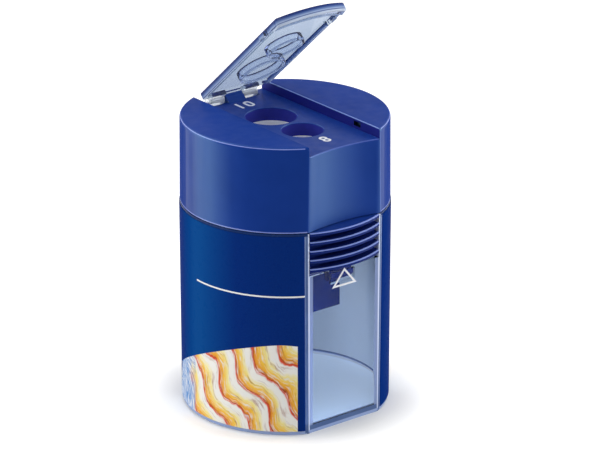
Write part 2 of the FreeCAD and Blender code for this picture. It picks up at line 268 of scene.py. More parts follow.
def colourRamp(tree, value, stops):
    ramp = wire(tree, "ShaderNodeValToRGB", {"Fac": value})
    marks = ramp.color_ramp.elements
    marks[0].position, marks[1].position = stops[0][0], stops[-1][0]
    marks[0].color, marks[1].color = stops[0][1], stops[-1][1]
    for position, colour in stops[1:-1]:
        marks.new(position).color = colour
    return ramp.outputs[0]


def colourBy(tree, shader, pattern, first, second):
    colour = blendColours(tree, between(tree, pattern, 0, 1), first, second)
    connect(tree, shader.inputs["Base Color"], colour)


def roughBy(tree, shader, pattern, low, high):
    connect(tree, shader.inputs["Roughness"], between(tree, pattern, low, high))


def roughen(tree, shader, height, depth, strength=1.0):
    bump = wire(tree, "ShaderNodeBump", {"Height": height, "Distance": depth, "Strength": strength})
    tree.links.new(bump.outputs[0], shader.inputs["Normal"])


# gloss by how far a surface turns from the eye: 0 faces it, 1 is edge on
satinShine = ((0.0, 0.05), (0.13, 0.06), (0.19, 0.14), (0.25, 0.42), (0.34, 0.84), (0.46, 0.84),
              (0.56, 0.24), (0.655, 0.2), (0.69, 0.02), (0.76, 0.004), (1.0, 0.0005))
topShine = ((0.0, 0.05), (0.4, 0.2), (0.6, 0.075), (0.648, 0.043), (0.72, 0.009), (1.0, 0.0005))
floorShine = ((0.0, 0.05), (0.4, 0.2), (0.6, 0.14), (0.648, 0.115), (0.72, 0.025), (1.0, 0.0005))
filmShine = ((0.0, 0.03), (0.3, 0.02), (0.6, 0.001), (1.0, 0.0))
dullShine = ((0.0, 0.04), (0.4, 0.08), (0.7, 0.02), (1.0, 0.005))


def shineByFacing(tree, shader, stops):
    facing = wire(tree, "ShaderNodeLayerWeight", {"Blend": 0.5}).outputs["Facing"]
    levels = [(position, (level, level, level, 1)) for position, level in stops]
    connect(tree, shader.inputs["Specular IOR Level"], colourRamp(tree, facing, levels))


mouldGrain = {
    "mottle": 140, "rub": 420, "rubStretch": (1, 1, 0.12), "smoother": 0.05, "rougher": 0.08,
    "grain": 7000, "grainDepth": 0.000006, "glossTint": (0.4, 0.82, 1, 1),
}
clearGrain = {
    "flow": 55, "flowStretch": (1, 1, 0.4), "flowDepth": 0.00003, "flowStrength": 0.5,
    "haze": 900, "hazeLeast": 0.6, "hazeMost": 1.6,
}
metalGrain = {"smoother": 0.07, "rougher": 0.1, "lineDepth": 0.00001, "lineStrength": 0.6}
inkGrain = {"cover": 5200, "rough": (0.5, 0.38), "depth": 0.000008}


def mouldedPlastic(name, deep, pale, roughness, shine=satinShine):
    # satin moulding: a slow mottle in the colour, fine grain in the surface, a few dull rub marks
    finish, tree, shader, place = newFinish(name)
    g = mouldGrain
    colourBy(tree, shader, speckle(tree, place, g["mottle"], 3), deep, pale)
    rub = speckle(tree, place, g["rub"], 4, g["rubStretch"])
    roughBy(tree, shader, rub, roughness - g["smoother"], roughness + g["rougher"])
    shineByFacing(tree, shader, shine)
    shader.inputs["Specular Tint"].default_value = g["glossTint"]
    roughen(tree, shader, speckle(tree, place, g["grain"], 2), g["grainDepth"])
    return finish


def clearPlastic(name, tint, paleTint, depthColour, depth, roughness, clearness=1.0, bend=1.18):
    # clear moulding, with slow flow lines and a body colour that shows in its thick edges
    finish, tree, shader, place = newFinish(name)
    g = clearGrain
    flow = speckle(tree, place, g["flow"], 2, g["flowStretch"])
    colourBy(tree, shader, flow, tint, paleTint)
    haze = speckle(tree, place, g["haze"], 3)
    roughBy(tree, shader, haze, roughness * g["hazeLeast"], roughness * g["hazeMost"])
    shader.inputs["Transmission Weight"].default_value = clearness
    shader.inputs["IOR"].default_value = bend
    roughen(tree, shader, flow, g["flowDepth"], g["flowStrength"])
    body = wire(tree, "ShaderNodeVolumeAbsorption", {"Color": depthColour, "Density": depth})
    tree.links.new(body.outputs[0], tree.nodes["Material Output"].inputs["Volume"])
    return finish


def workedMetal(name, dark, light, roughness, stretch, scale, bareness=1.0):
    # metal with the fine lines its tool left, bright or with a dull skin
    finish, tree, shader, place = newFinish(name)
    g = metalGrain
    lines = speckle(tree, place, scale, 4, stretch)
    colourBy(tree, shader, lines, dark, light)
    roughBy(tree, shader, lines, roughness - g["smoother"], roughness + g["rougher"])
    shader.inputs["Metallic"].default_value = bareness
    roughen(tree, shader, lines, g["lineDepth"], g["lineStrength"])
    return finish


def printedInk(name, thin, full):
    # white ink that lies a little thinner in places
    finish, tree, shader, place = newFinish(name)
    cover = speckle(tree, place, inkGrain["cover"], 3)
    colourBy(tree, shader, cover, thin, full)
    roughBy(tree, shader, cover, *inkGrain["rough"])
    roughen(tree, shader, cover, inkGrain["depth"])
    return finish


labelPrint = {
    "navy": (0.001, 0.021, 0.16, 1), "navyLight": (0.001, 0.026, 0.185, 1), "navyGrain": 3800,
    "paintedLitAzure": (0.001, 0.06, 0.25, 1), "azureRise": (-23.0, -6.0), "azureFall": (0.0, 25.0),
    "white": (0.86, 0.86, 0.85, 1), "filmBack": (0.84, 0.88, 0.97, 1), "backTilt": -0.01,
    "blue": (0.06, 0.24, 0.6, 1), "brown": (0.3, 0.07, 0.02, 1),
    "arcPerDegree": 0.375,  # millimetres along the wall
    "ruleHeight": 30.45, "ruleHalf": 0.17, "ruleStart": -3.5,
    "panelTop": 20.0, "panelFall": 0.0104, "panelCurve": 1.6, "panelPeak": 50.0,
    "panelStart": -36.0, "panelRise": 1.1, "panelEnd": 58.8,
    "ribbonPitch": 5.2, "ribbonAcross": 0.82, "ribbonUp": 0.57,
    "swing": 1.1, "swingUp": 0.42, "swingAcross": -0.3,
    "brush": 260, "brushStretch": (1, 1, 0.35), "brushSway": (-0.7, 0.7),
    "strokeLength": 0.16, "strokes": 2.6, "shadeLines": 1.5,
    "shadeCover": (0, 0.6, 0.54, 0.7), "whiteCover": (0, 0.75, 0.5, 0.68),
    "washCover": (0.95, 0.1, 0.42, 0.6), "washSway": (-2.2, 2.2), "washEdge": (-4.6, -2.6),
    "sheen": 600, "sheenRough": (0.24, 0.36), "ripple": 330, "rippleDepth": 0.000012, "rippleStrength": 0.6,
    "ribbons": ((0.0, (0.42, 0.03, 0.02, 1)), (0.07, (0.8, 0.3, 0.04, 1)), (0.28, (0.9, 0.55, 0.07, 1)),
                (0.5, (0.9, 0.78, 0.3, 1)), (0.66, (0.88, 0.86, 0.8, 1)), (0.9, (0.88, 0.86, 0.82, 1)),
                (0.95, (0.7, 0.09, 0.04, 1))),
}


def labelFilm(name, p):
    # a printed film: navy, one white rule, and below it a panel of slanting wavy ribbons in warm colours
    finish, tree, shader, place = newFinish(name)

    def times(value, factor):
        return sums(tree, "MULTIPLY", value, factor)

    def plus(value, other):
        return sums(tree, "ADD", value, other)

    parts = wire(tree, "ShaderNodeSeparateXYZ", {"Vector": place}).outputs
    side = sums(tree, "SIGN", parts["X"])
    turn = sums(tree, "ARCTAN2", times(parts["Y"], side), times(parts["X"], side))
    angle = sums(tree, "DEGREES", turn)
    height = times(parts["Z"], 1 / toMetres)
    along = times(angle, p["arcPerDegree"])
    grain = speckle(tree, place, p["navyGrain"], 3)
    navy = blendColours(tree, between(tree, grain, 0, 1), p["navy"], p["navyLight"])
    # painted light: the navy turns lighter azure on each label's outer side, facing the side lamps
    fromLeft = between(tree, angle, 0, 1, *p["azureRise"])
    fromRight = between(tree, angle, 1, 0, *p["azureFall"])
    navy = blendColours(tree, sums(tree, "MINIMUM", fromLeft, fromRight), navy, p["paintedLitAzure"])

    brush = speckle(tree, place, p["brush"], 4, p["brushStretch"])
    slant = plus(times(along, p["ribbonAcross"]), times(height, p["ribbonUp"]))
    swing = sums(tree, "SINE", plus(times(height, p["swingUp"]), times(along, p["swingAcross"])))
    slant = plus(slant, times(swing, p["swing"]))
    slant = plus(slant, between(tree, brush, *p["brushSway"]))
    share = sums(tree, "FRACT", sums(tree, "DIVIDE", slant, p["ribbonPitch"]))
    ribbons = colourRamp(tree, share, p["ribbons"])
    down = sums(tree, "SUBTRACT", times(height, p["ribbonAcross"]), times(along, p["ribbonUp"]))
    lay = wire(tree, "ShaderNodeCombineXYZ", {"X": slant, "Y": times(down, p["strokeLength"])}).outputs[0]
    strokes = speckle(tree, lay, p["strokes"], 3)
    shadeLines = speckle(tree, lay, p["shadeLines"], 4)
    ribbons = blendColours(tree, between(tree, shadeLines, *p["shadeCover"]), ribbons, p["brown"])
    ribbons = blendColours(tree, between(tree, strokes, *p["whiteCover"]), ribbons, p["white"])
    wash = blendColours(tree, between(tree, strokes, *p["washCover"]), p["white"], p["blue"])
    reach = plus(along, between(tree, brush, *p["washSway"]))
    picture = blendColours(tree, between(tree, reach, 1, 0, *p["washEdge"]), ribbons, wash)

    fromPeak = sums(tree, "ABSOLUTE", sums(tree, "SUBTRACT", angle, p["panelPeak"]))
    fall = times(sums(tree, "POWER", fromPeak, p["panelCurve"]), p["panelFall"])
    rise = times(sums(tree, "SUBTRACT", angle, p["panelStart"]), p["panelRise"])
    top = sums(tree, "MINIMUM", sums(tree, "SUBTRACT", p["panelTop"], fall), rise)
    inPanel = times(sums(tree, "LESS_THAN", height, top), sums(tree, "LESS_THAN", angle, p["panelEnd"]))
    onRule = sums(tree, "COMPARE", height, p["ruleHeight"], p["ruleHalf"])
    onRule = times(onRule, sums(tree, "GREATER_THAN", angle, p["ruleStart"]))
    front = blendColours(tree, inPanel, navy, picture)
    front = blendColours(tree, onRule, front, p["white"])

    # the back of the film is the side whose normal points to the tub's axis
    flat = wire(tree, "ShaderNodeCombineXYZ", {"X": parts["X"], "Y": parts["Y"]}).outputs[0]
    normal = tree.nodes.new("ShaderNodeNewGeometry").outputs["Normal"]
    outward = wire(tree, "ShaderNodeVectorMath", {0: flat, 1: normal}, operation="DOT_PRODUCT")
    outside = sums(tree, "GREATER_THAN", outward.outputs["Value"], p["backTilt"])
    connect(tree, shader.inputs["Base Color"], blendColours(tree, outside, p["filmBack"], front))
    roughBy(tree, shader, speckle(tree, place, p["sheen"], 3), *p["sheenRough"])
    shineByFacing(tree, shader, filmShine)
    roughen(tree, shader, speckle(tree, place, p["ripple"], 2), p["rippleDepth"], p["rippleStrength"])
    return finish


blueHead = mouldedPlastic("blueHead", (0.007, 0.034, 0.225, 1), (0.009, 0.04, 0.255, 1), 0.42)
blueTop = mouldedPlastic("blueTop", (0.008, 0.035, 0.228, 1), (0.01, 0.041, 0.258, 1), 0.42, topShine)
blueFloor = mouldedPlastic("blueFloor", (0.008, 0.035, 0.228, 1), (0.01, 0.041, 0.258, 1), 0.42, floorShine)
# painted shade: a darker, duller blue on the channel's side walls
paintedWallShade = mouldedPlastic("paintedWallShade", (0.012, 0.016, 0.18, 1), (0.016, 0.02, 0.2, 1), 0.42, dullShine)
# painted light: a paler, more violet blue on the bore walls
paintedHoleLight = mouldedPlastic("paintedHoleLight", (0.028, 0.034, 0.3, 1), (0.034, 0.04, 0.33, 1), 0.42, dullShine)
# painted highlight: a paler blue that stands for the light along the head's edges
paintedEdgeHighlight = mouldedPlastic("paintedEdgeHighlight", (0.17, 0.22, 0.58, 1), (0.25, 0.31, 0.7, 1), 0.3)
# a weaker painted highlight, on the edges that catch less light
paintedSoftHighlight = mouldedPlastic("paintedSoftHighlight", (0.045, 0.075, 0.34, 1), (0.07, 0.11, 0.42, 1), 0.34)
# painted shade: near-black blue in the catch recesses
paintedRecessShade = mouldedPlastic("paintedRecessShade", (0.001, 0.002, 0.018, 1), (0.002, 0.003, 0.026, 1), 0.6)
bluePad = mouldedPlastic("bluePad", (0.006, 0.016, 0.14, 1), (0.008, 0.02, 0.16, 1), 0.4, dullShine)
# painted highlight: a pale blue on the ribs' upper front edges
paintedRibHighlight = mouldedPlastic("paintedRibHighlight", (0.22, 0.3, 0.68, 1), (0.27, 0.35, 0.76, 1), 0.34, dullShine)
blueHolder = mouldedPlastic("blueHolder", (0.002, 0.014, 0.13, 1), (0.003, 0.017, 0.15, 1), 0.42, dullShine)

tubBody = (0.48, 0.64, 0.99, 1), 18  # the clear plastics' own colour and how soon it shows
lidGlass, lidBody = (0.2, 0.38, 0.9, 1), 120
clearTub = clearPlastic("clearTub", (0.83, 0.91, 0.99, 1), (0.85, 0.92, 1, 1), *tubBody, 0.012)
# painted highlight: pale lines on the tub's posts and the openings' sides
paintedTubHighlight = clearPlastic("paintedTubHighlight", (0.64, 0.73, 0.98, 1), (0.74, 0.82, 1.0, 1), *tubBody, 0.1, 0.15)
# painted light: a milky mid blue where the eye looks along the wall's thickness
paintedTubThickLight = clearPlastic("paintedTubThickLight", (0.33, 0.44, 0.76, 1), (0.4, 0.51, 0.83, 1), *tubBody, 0.1, 0.2)
# painted shade: a dark blue band at the tub's floor edge and corners
paintedTubDarkBand = clearPlastic("paintedTubDarkBand", (0.1, 0.17, 0.39, 1), (0.14, 0.22, 0.45, 1), *tubBody, 0.08, 0.3)
# painted light: paler strips beside the posts
paintedTubPaleStrip = clearPlastic("paintedTubPaleStrip", (0.38, 0.5, 0.86, 1), (0.44, 0.56, 0.9, 1), *tubBody, 0.05, 0.5)
tubFloor = clearPlastic("tubFloor", (0.6, 0.76, 1, 1), (0.66, 0.81, 1, 1), *tubBody, 0.04, 0.92)
# painted shade: a near-opaque dark navy on the rim band above the label
paintedTubRimShade = clearPlastic("paintedTubRimShade", (0.004, 0.024, 0.12, 1), (0.006, 0.03, 0.14, 1), *tubBody, 0.2, 0.05)
# painted glint: a near-white milky blue on the hinge knuckles and arms
paintedLidGlint = clearPlastic("paintedLidGlint", (0.93, 0.97, 0.99, 1), (0.96, 0.99, 1, 1), lidGlass, 20,
                         0.05, 0.6, 1.06)
castMetal = workedMetal("castMetal", (0.93, 0.94, 0.97, 1), (0.98, 0.98, 0.99, 1), 0.5,
                        (1, 1, 0.3), 2600, 0.2)
groundSteel = workedMetal("groundSteel", (0.5, 0.52, 0.56, 1), (0.72, 0.74, 0.77, 1), 0.26,
                          (1, 0.06, 1), 5200)
turnedSteel = workedMetal("turnedSteel", (0.55, 0.57, 0.6, 1), (0.75, 0.76, 0.78, 1), 0.24, (1, 1, 1), 4200)
whiteInk = printedInk("whiteInk", (0.78, 0.79, 0.82, 1), (0.9, 0.9, 0.92, 1))
labelFinish = labelFilm("labelFilm", labelPrint)

for node, finish in {
    "left_label": labelFinish, "right_label": labelFinish,
    "front_arrow_mark": whiteInk, "rear_arrow_mark": whiteInk,
    "jumbo_number": whiteInk, "standard_number": whiteInk,
    "sharpener_holder": blueHolder, "sharpener_block": castMetal,
    "jumbo_blade": groundSteel, "standard_blade": groundSteel,
    "jumbo_blade_screw": turnedSteel, "standard_blade_screw": turnedSteel, "hinge_pin": turnedSteel,
    "front_latch_hook": bluePad, "rear_latch_hook": bluePad,
}.items():
    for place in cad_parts[node].material_slots:
        place.material = finish
print("finishes set")


headSizes = {
    "lowRadius": 21.5, "highRadius": 21.35, "low": 44.0, "high": 62.0, "flat": 19.35, "bandHigh": 44.3,
    "rimRound": 0.7, "lowRound": 0.12, "cornerRound": 0.2, "cornerOut": 7, "cornerLift": 0.05,
    "channelHalf": 8.9, "channelFloor": 59.9, "channelRound": 0.22, "flareTurns": (22.5, 45, 67.5, 90),
    "flareTop": 3, "scoopRadius": 37.48, "scoopY": -55.83, "scoopSides": 320, "cutLow": 40, "cutHigh": 70,
    "frontRound": 0.2, "frontY": -18.2, "wall": 1.6, "ceiling": 57.1, "innerFlat": 16.75,
    "hollowLow": 43.0, "hollowDraft": 0.11, "pocketHalf": 6.35, "pocketY": 16.6, "pocketLow": 59.0,
    "holes": ((4.62, 5.25), (-5.75, 4.25)), "holeLow": 50, "holeRound": 0.25,
    "recessY": -12.2, "recessZ": 60.95, "recessIn": 0.4, "recessOut": 0.9, "recessLong": 1.1,
    "recessTall": 0.5, "hingeY": 18.1, "hingeZ": 60.5, "knuckle": 1.2, "pinBore": 0.62, "pinHalf": 6.05,
    "bossHalf": 2.15, "bossTop": 61.1, "bossToe": 1.5, "bossRoot": 2.1,
    "bossSlopes": ((0, -1.2, 1.5), (0, 0.6, 1.2)),
    "railY": 15.6, "railZ": 55.2, "railHalf": 6.0, "railWall": 0.9, "railDrop": 0.45, "railRoot": 0.9,
    "seat": 0.95, "spigot": 19.893, "spigotInside": 18.693, "spigotRoot": 20.5, "spigotFlat": 14.5,
    "spigotHeights": (41.0, 45.0), "spigotRootHeights": (44.4, 46.5), "spigotCutHeights": (40.0, 48.0),
    # where the finishes begin and end
    "rimClear": 0.3, "rimTilt": (0.5, 0.7), "brinkWidth": 0.24, "brinkTilt": (0.3, 0.97),
    "footDepth": 0.15, "footClear": 0.05, "frontDrop": 0.1, "frontReach": 0.12, "frontTilt": (0.2, 0.97),
    "cornerReach": 0.15, "cornerTilt": (0.45, 0.97), "mouthTilt": (0.5, 0.9), "topTilt": 0.9, "plumb": 0.1,
    "recessLip": 0.05, "recessReach": 1, "holeReach": 0.03, "holeDrop": 0.1,
}


def raiseTop(cutter, half, height):
    # extrudes the top face up to a height and widens it to a half width
    chooseOnly(cutter)
    bpy.ops.object.mode_set(mode="EDIT")
    bpy.ops.mesh.select_mode(type="FACE")
    bpy.ops.mesh.select_all(action="DESELECT")
    shape = bmesh.from_edit_mesh(cutter.data)
    top = max(shape.faces, key=lambda face: face.calc_center_median().z)
    top.select_set(True)
    now = max(vertex.co.x for vertex in top.verts)
    rise = height - top.calc_center_median().z
    bmesh.update_edit_mesh(cutter.data)
    bpy.ops.mesh.extrude_region_move(TRANSFORM_OT_translate={"value": (0, 0, rise)})
    bpy.ops.transform.resize(value=(half / now, 1, 1), center_override=(0, 0, height))
    bpy.ops.object.mode_set(mode="OBJECT")


def channelCutter(s):
    # the channel's section, flared a little at the top so that its upper edges come out rounded
    half, flare = s["channelHalf"], s["channelRound"]
    cutter = midSlab("channelCutter", half, -farOff, farOff, s["channelFloor"], s["high"] - flare)
    for turn in s["flareTurns"]:
        out = flare * (1 - math.cos(math.radians(turn)))
        rise = flare * math.sin(math.radians(turn))
        raiseTop(cutter, half + out, s["high"] - flare + rise)
    raiseTop(cutter, half + flare, s["high"] + s["flareTop"])
    return cutter


def hingeBoss(s):
    y, z, half = s["hingeY"], s["hingeZ"], s["bossHalf"]
    front, low = y - s["knuckle"], s["channelFloor"] - s["bossRoot"]
    boss = midSlab("hingeBoss", half, front - s["bossToe"], y, low, s["bossTop"])
    for slope in s["bossSlopes"]:
        sliceOff(boss, (0, front, s["bossTop"]), slope)
    foot = midSlab("hingeFoot", half, front, y + s["knuckle"], low, z)
    addOn(boss, foot, crossRod("hingeBarrel", s["knuckle"], -half, half, y, z))
    return boss


def padRail(s, side):
    # the seat that a pad's round root turns in
    depth = s["seat"] + s["railWall"]
    ends = span(side, s["railY"] - depth, s["railY"] + depth)
    rail = midSlab("padRail", s["railHalf"], *ends, s["railZ"] - s["railDrop"], s["ceiling"] + s["railRoot"])
    takeAway(rail, crossRod("seat", s["seat"], -farOff, farOff, side * s["railY"], s["railZ"]))
    return rail


def spigotRing(s):
    # the skirt that the head sits in the tub by
    ring = drum("spigot", s["spigot"], *s["spigotHeights"])
    addOn(ring, drum("spigotRoot", s["spigotRoot"], *s["spigotRootHeights"]))
    takeAway(ring, drum("spigotInside", s["spigotInside"], *s["spigotCutHeights"]))
    sliceFlats(ring, s["spigotFlat"])
    return ring


def makeHead(s):
    half, floorZ, atFlat = s["channelHalf"], s["channelFloor"], s["flat"] - hair

    def onCorner(a, b):
        # the upright corners between the round walls and the flats
        apart = min(abs(a.y), abs(b.y)) > atFlat and min(abs(a.x), abs(b.x)) > s["cornerOut"]
        below = max(a.z, b.z) < s["high"] - s["rimRound"] + hair
        return apart and below and abs(a.z - b.z) > 2 * hair and min(a.z, b.z) > s["low"] + s["cornerLift"]

    def fromHole(place):
        return min(abs(math.hypot(place.x, place.y - y) - radius) for y, radius in s["holes"])

    def onFloor(a, b):
        return abs(a.z - floorZ) < hair and abs(b.z - floorZ) < hair

    def onMouth(a, b):
        return max(fromHole(a), fromHole(b)) < hair and onFloor(a, b)

    def onFront(a, b):
        return onFloor(a, b) and max(a.y, b.y) < s["frontY"] and max(abs(a.x), abs(b.x)) < half + hair

    head = roundBody("headShell", s["lowRadius"], s["low"], s["highRadius"], s["high"])
    roundEdges(head, s["rimRound"], 6, lambda a, b: min(a.z, b.z) > s["high"] - hair)
    roundEdges(head, s["lowRound"], 2, lambda a, b: max(a.z, b.z) < s["low"] + hair)
    scoreLine(head, (0, 0, s["bandHigh"]), (0, 0, 1))
    sliceFlats(head, s["flat"])
    roundEdges(head, s["cornerRound"], 3, onCorner)
    takeAway(head, channelCutter(s))
    takeAway(head, drum("scoop", s["scoopRadius"], s["cutLow"], s["cutHigh"], s["scoopSides"], s["scoopY"]))
    inside = s["lowRadius"] - s["wall"]
    hollow = roundBody("hollow", inside, s["hollowLow"], inside - s["hollowDraft"], s["ceiling"])
    sliceFlats(hollow, s["innerFlat"])
    takeAway(head, hollow)
    takeAway(head, midSlab("pocket", s["pocketHalf"], s["pocketY"], farOff, s["pocketLow"], s["cutHigh"]))
    addOn(head, spigotRing(s), padRail(s, -1), padRail(s, 1), hingeBoss(s))
    for y, radius in s["holes"]:
        takeAway(head, drum("hole", radius, s["holeLow"], s["cutHigh"], holeSides, y))
    roundEdges(head, s["holeRound"], 3, onMouth)
    roundEdges(head, s["frontRound"], 3, onFront)
    for side in (-1, 1):
        takeAway(head, slab("recess", *span(side, half - s["recessIn"], half + s["recessOut"]),
                            s["recessY"] - s["recessLong"], s["recessY"] + s["recessLong"],
                            s["recessZ"] - s["recessTall"], s["recessZ"] + s["recessTall"]))
    takeAway(head, crossRod("pinBore", s["pinBore"], -s["pinHalf"], s["pinHalf"], s["hingeY"], s["hingeZ"]))
    finishPiece(head, blueHead, "head", ["head_shell"])

    def onEdge(middle, normal):
        # painted highlight on the edges: the rim, the channel's upper edges, the round walls' lower edge
        across, out = abs(middle.x), math.hypot(middle.x, middle.y)
        rim = middle.z > s["high"] - s["rimRound"] and across > half + s["rimClear"]
        brink = half < across < half + s["brinkWidth"] and middle.z > s["high"] - s["channelRound"] - hair
        foot = middle.z < s["bandHigh"] and out > s["lowRadius"] - s["footDepth"]
        return ((rim and within(normal.z, s["rimTilt"])) or (brink and within(normal.z, s["brinkTilt"]))
                or (foot and abs(middle.y) < s["flat"] - s["footClear"]))

    def onSoftHighlight(middle, normal):
        # a weaker painted highlight: front of the channel's floor, the wings' front corners, the hole mouths
        across = abs(middle.x)
        front = abs(middle.z - floorZ + s["frontDrop"]) < s["frontReach"] and middle.y < s["frontY"]
        front = front and across < half and within(normal.z, s["frontTilt"])
        corner = abs(middle.y) > s["flat"] - s["cornerReach"] and across > half and middle.x * middle.y < 0
        corner = corner and within(abs(normal.y), s["cornerTilt"]) and abs(normal.z) < s["plumb"]
        mouth = max(fromHole(middle), abs(middle.z - floorZ)) < s["holeRound"]
        return front or corner or (mouth and within(normal.z, s["mouthTilt"]))

    # painted shade inside the catch recesses
    def inRecess(middle, normal):
        level = abs(middle.z - s["recessZ"]) < s["recessTall"] + hair
        level = level and abs(middle.y - s["recessY"]) < s["recessLong"] + hair
        return level and half + s["recessLip"] < abs(middle.x) < half + s["recessReach"]

    # the channel's side walls, painted darker as shade
    def onChannelWall(middle, normal):
        return abs(abs(middle.x) - half) < 2 * hair and abs(normal.x) > square and middle.z > floorZ

    # the bore walls, painted paler as light
    def inHole(middle, normal):
        upright = abs(normal.z) < s["plumb"] and middle.z > s["ceiling"] - s["holeDrop"]
        return upright and fromHole(middle) < s["holeReach"]

    def onTop(middle, normal):
        return normal.z > s["topTilt"]

    def onChannelFloor(middle, normal):
        return onTop(middle, normal) and abs(middle.z - floorZ) < 2 * hair

    addFinish(head, blueTop, onTop)
    addFinish(head, blueFloor, onChannelFloor)
    addFinish(head, paintedEdgeHighlight, onEdge)
    addFinish(head, paintedSoftHighlight, onSoftHighlight)
    addFinish(head, paintedWallShade, onChannelWall)
    addFinish(head, paintedHoleLight, inHole)
    addFinish(head, paintedRecessShade, inRecess)


makeHead(headSizes)


tubSizes = {
    "lowRadius": 21.4, "highRadius": 21.4997, "height": 43.85, "flat": 19.35, "wall": 1.4, "floor": 1.4,
    "baseRound": 0.4, "cornerRound": 0.25, "topRound": 0.12, "innerRound": 0.25, "floorRound": 0.35,
    "innerDraft": 0.003, "hollowTop": 46, "openingHalf": 8.95, "openingLow": 34.4, "openingTop": 50,
    "cutIn": 1, "cutOut": 2, "pocketHalf": 3.1, "pocketLow": 31.2, "pocketHigh": 33.5, "pocketDepth": 0.8,
    # where the finishes begin and end
    "bandLow": 0.9, "bandBase": 1.9, "bandHigh": 43.25, "wallHalf": 8.0, "postHalf": 8.8,
    "marginIn": 0.7, "marginOut": 0.1, "underTilt": -0.97, "filletHeight": (0.01, 0.34),
    "filletTilt": (0.05, 0.95), "cornerReach": 0.2, "cornerTilt": (0.5, 0.99),
}


def makeTub(s):
    tub = roundBody("clearTub", s["lowRadius"], 0, s["highRadius"], s["height"])
    sliceFlats(tub, s["flat"])

    def uprightAt(flat):
        # the upright edges on a pair of flats
        return lambda a, b: abs(a.z - b.z) > uprightRise and min(abs(a.y), abs(b.y)) > flat - hair

    roundEdges(tub, s["cornerRound"], 3, uprightAt(s["flat"]))
    roundEdges(tub, s["baseRound"], 4, lambda a, b: max(a.z, b.z) < hair)
    roundEdges(tub, s["topRound"], 2, lambda a, b: min(a.z, b.z) > s["height"] - hair)
    for height in (s["bandLow"], s["bandBase"], s["bandHigh"]):
        scoreLine(tub, (0, 0, height), (0, 0, 1))
    for across in (-s["postHalf"], -s["wallHalf"], s["wallHalf"], s["postHalf"]):
        scoreLine(tub, (across, 0, 0), (1, 0, 0))
    inner = s["flat"] - s["wall"]
    hollow = roundBody("hollow", s["lowRadius"] + s["innerDraft"] - s["wall"], s["floor"],
                       s["highRadius"] - s["wall"], s["hollowTop"])
    sliceFlats(hollow, inner)
    roundEdges(hollow, s["innerRound"], 3, uprightAt(inner))
    roundEdges(hollow, s["floorRound"], 3, lambda a, b: max(a.z, b.z) < s["floor"] + hair)
    takeAway(tub, hollow)
    for side in (-1, 1):
        ends = span(side, inner - s["cutIn"], s["flat"] + s["cutOut"])
        takeAway(tub, midSlab("opening", s["openingHalf"], *ends, s["openingLow"], s["openingTop"]))
        ends = span(side, inner - s["cutIn"], inner + s["pocketDepth"])
        takeAway(tub, midSlab("pocket", s["pocketHalf"], *ends, s["pocketLow"], s["pocketHigh"]))
    finishPiece(tub, clearTub, "tub", ["shavings_tub"])

    tub.visible_shadow = False  # clear walls let the lamps into the tub

    def onFlat(middle, normal):
        return abs(middle.y) > s["flat"] - hair and abs(normal.y) > square

    def nearWall(middle, normal):
        # painted light where the eye looks along a wall's thickness: the foot and the label's margin
        margin = s["flat"] - s["marginIn"] < abs(middle.y) < s["flat"] - s["marginOut"]
        foot = middle.z < s["bandLow"] and normal.z > s["underTilt"]
        return foot or (margin and abs(middle.x) > s["postHalf"])

    # painted light on the flats' strips beside the posts
    def besidePost(middle, normal):
        return onFlat(middle, normal) and s["wallHalf"] < abs(middle.x) < s["postHalf"]

    def onFloor(middle, normal):
        return abs(middle.z - s["floor"]) < hair and normal.z > square

    def onBase(middle, normal):
        # painted shade on the floor's edge seen through the flats, the fillet round the floor, and the
        # upright corners
        across, up = abs(middle.x), middle.z - s["floor"]
        edge = onFlat(middle, normal) and s["bandLow"] < middle.z < s["bandBase"] and across < s["postHalf"]
        fillet = within(up, s["filletHeight"]) and within(normal.z, s["filletTilt"])
        corner = across > s["postHalf"] and abs(middle.y) > s["flat"] - s["cornerReach"]
        return edge or fillet or (corner and within(abs(normal.y), s["cornerTilt"]))

    # the band above the label, painted dark as shade
    def onRim(middle, normal):
        return middle.z > s["bandHigh"]

    def onPost(middle, normal):
        # painted highlight on the posts beside the flats, and on the sides of the openings at the ends of the
        # ribs
        across = abs(middle.x)
        face = onFlat(middle, normal) and across > s["postHalf"] and middle.z > s["bandLow"]
        side = abs(across - s["openingHalf"]) < 2 * hair and abs(normal.x) > square
        return face or (side and middle.z > s["openingLow"])

    addFinish(tub, paintedTubPaleStrip, besidePost)
    addFinish(tub, tubFloor, onFloor)
    addFinish(tub, paintedTubThickLight, nearWall)
    addFinish(tub, paintedTubDarkBand, onBase)
    addFinish(tub, paintedTubRimShade, onRim)
    addFinish(tub, paintedTubHighlight, onPost)


makeTub(tubSizes)


padSizes = {
    "plateHalf": 8.45, "front": 18.6, "back": 17.2, "low": 34.6, "high": 43.8, "plateRound": 0.2, "sink": 0.3,
    "ribRadius": 21.5, "ribHalf": 8.8, "ribInner": 17.9, "ribHeight": 0.8, "ribPitch": 1.93, "ribCount": 5,
    "ribRound": 0.34, "tongueHalf": 6.0, "tongueFront": 16.15, "tongueBack": 15.05, "tongueLift": 0.4,
    "shelfLow": 41.4, "pivotY": 15.6, "pivotZ": 55.2, "root": 0.9, "heelHalf": 2.8, "heelBack": 16.2,
    "heelHigh": 37.6, "inset": 0.02,
    # where the finishes begin and end
    "edgeReach": 0.45, "edgeTilt": (0.6, 0.98), "topReach": 0.03, "topTilt": 0.98,
}


def makeRib(s):
    rib = drum("rib", s["ribRadius"], s["high"] - s["ribHeight"], s["high"])
    sliceOff(rib, (0, -s["ribInner"], 0), (0, 1, 0))
    sliceSides(rib, s["ribHalf"])
    roundEdges(rib, s["ribRound"], 3,
               lambda a, b: abs(a.z - b.z) < hair and max(a.y, b.y) < -s["ribInner"] - s["sink"])
    return rib


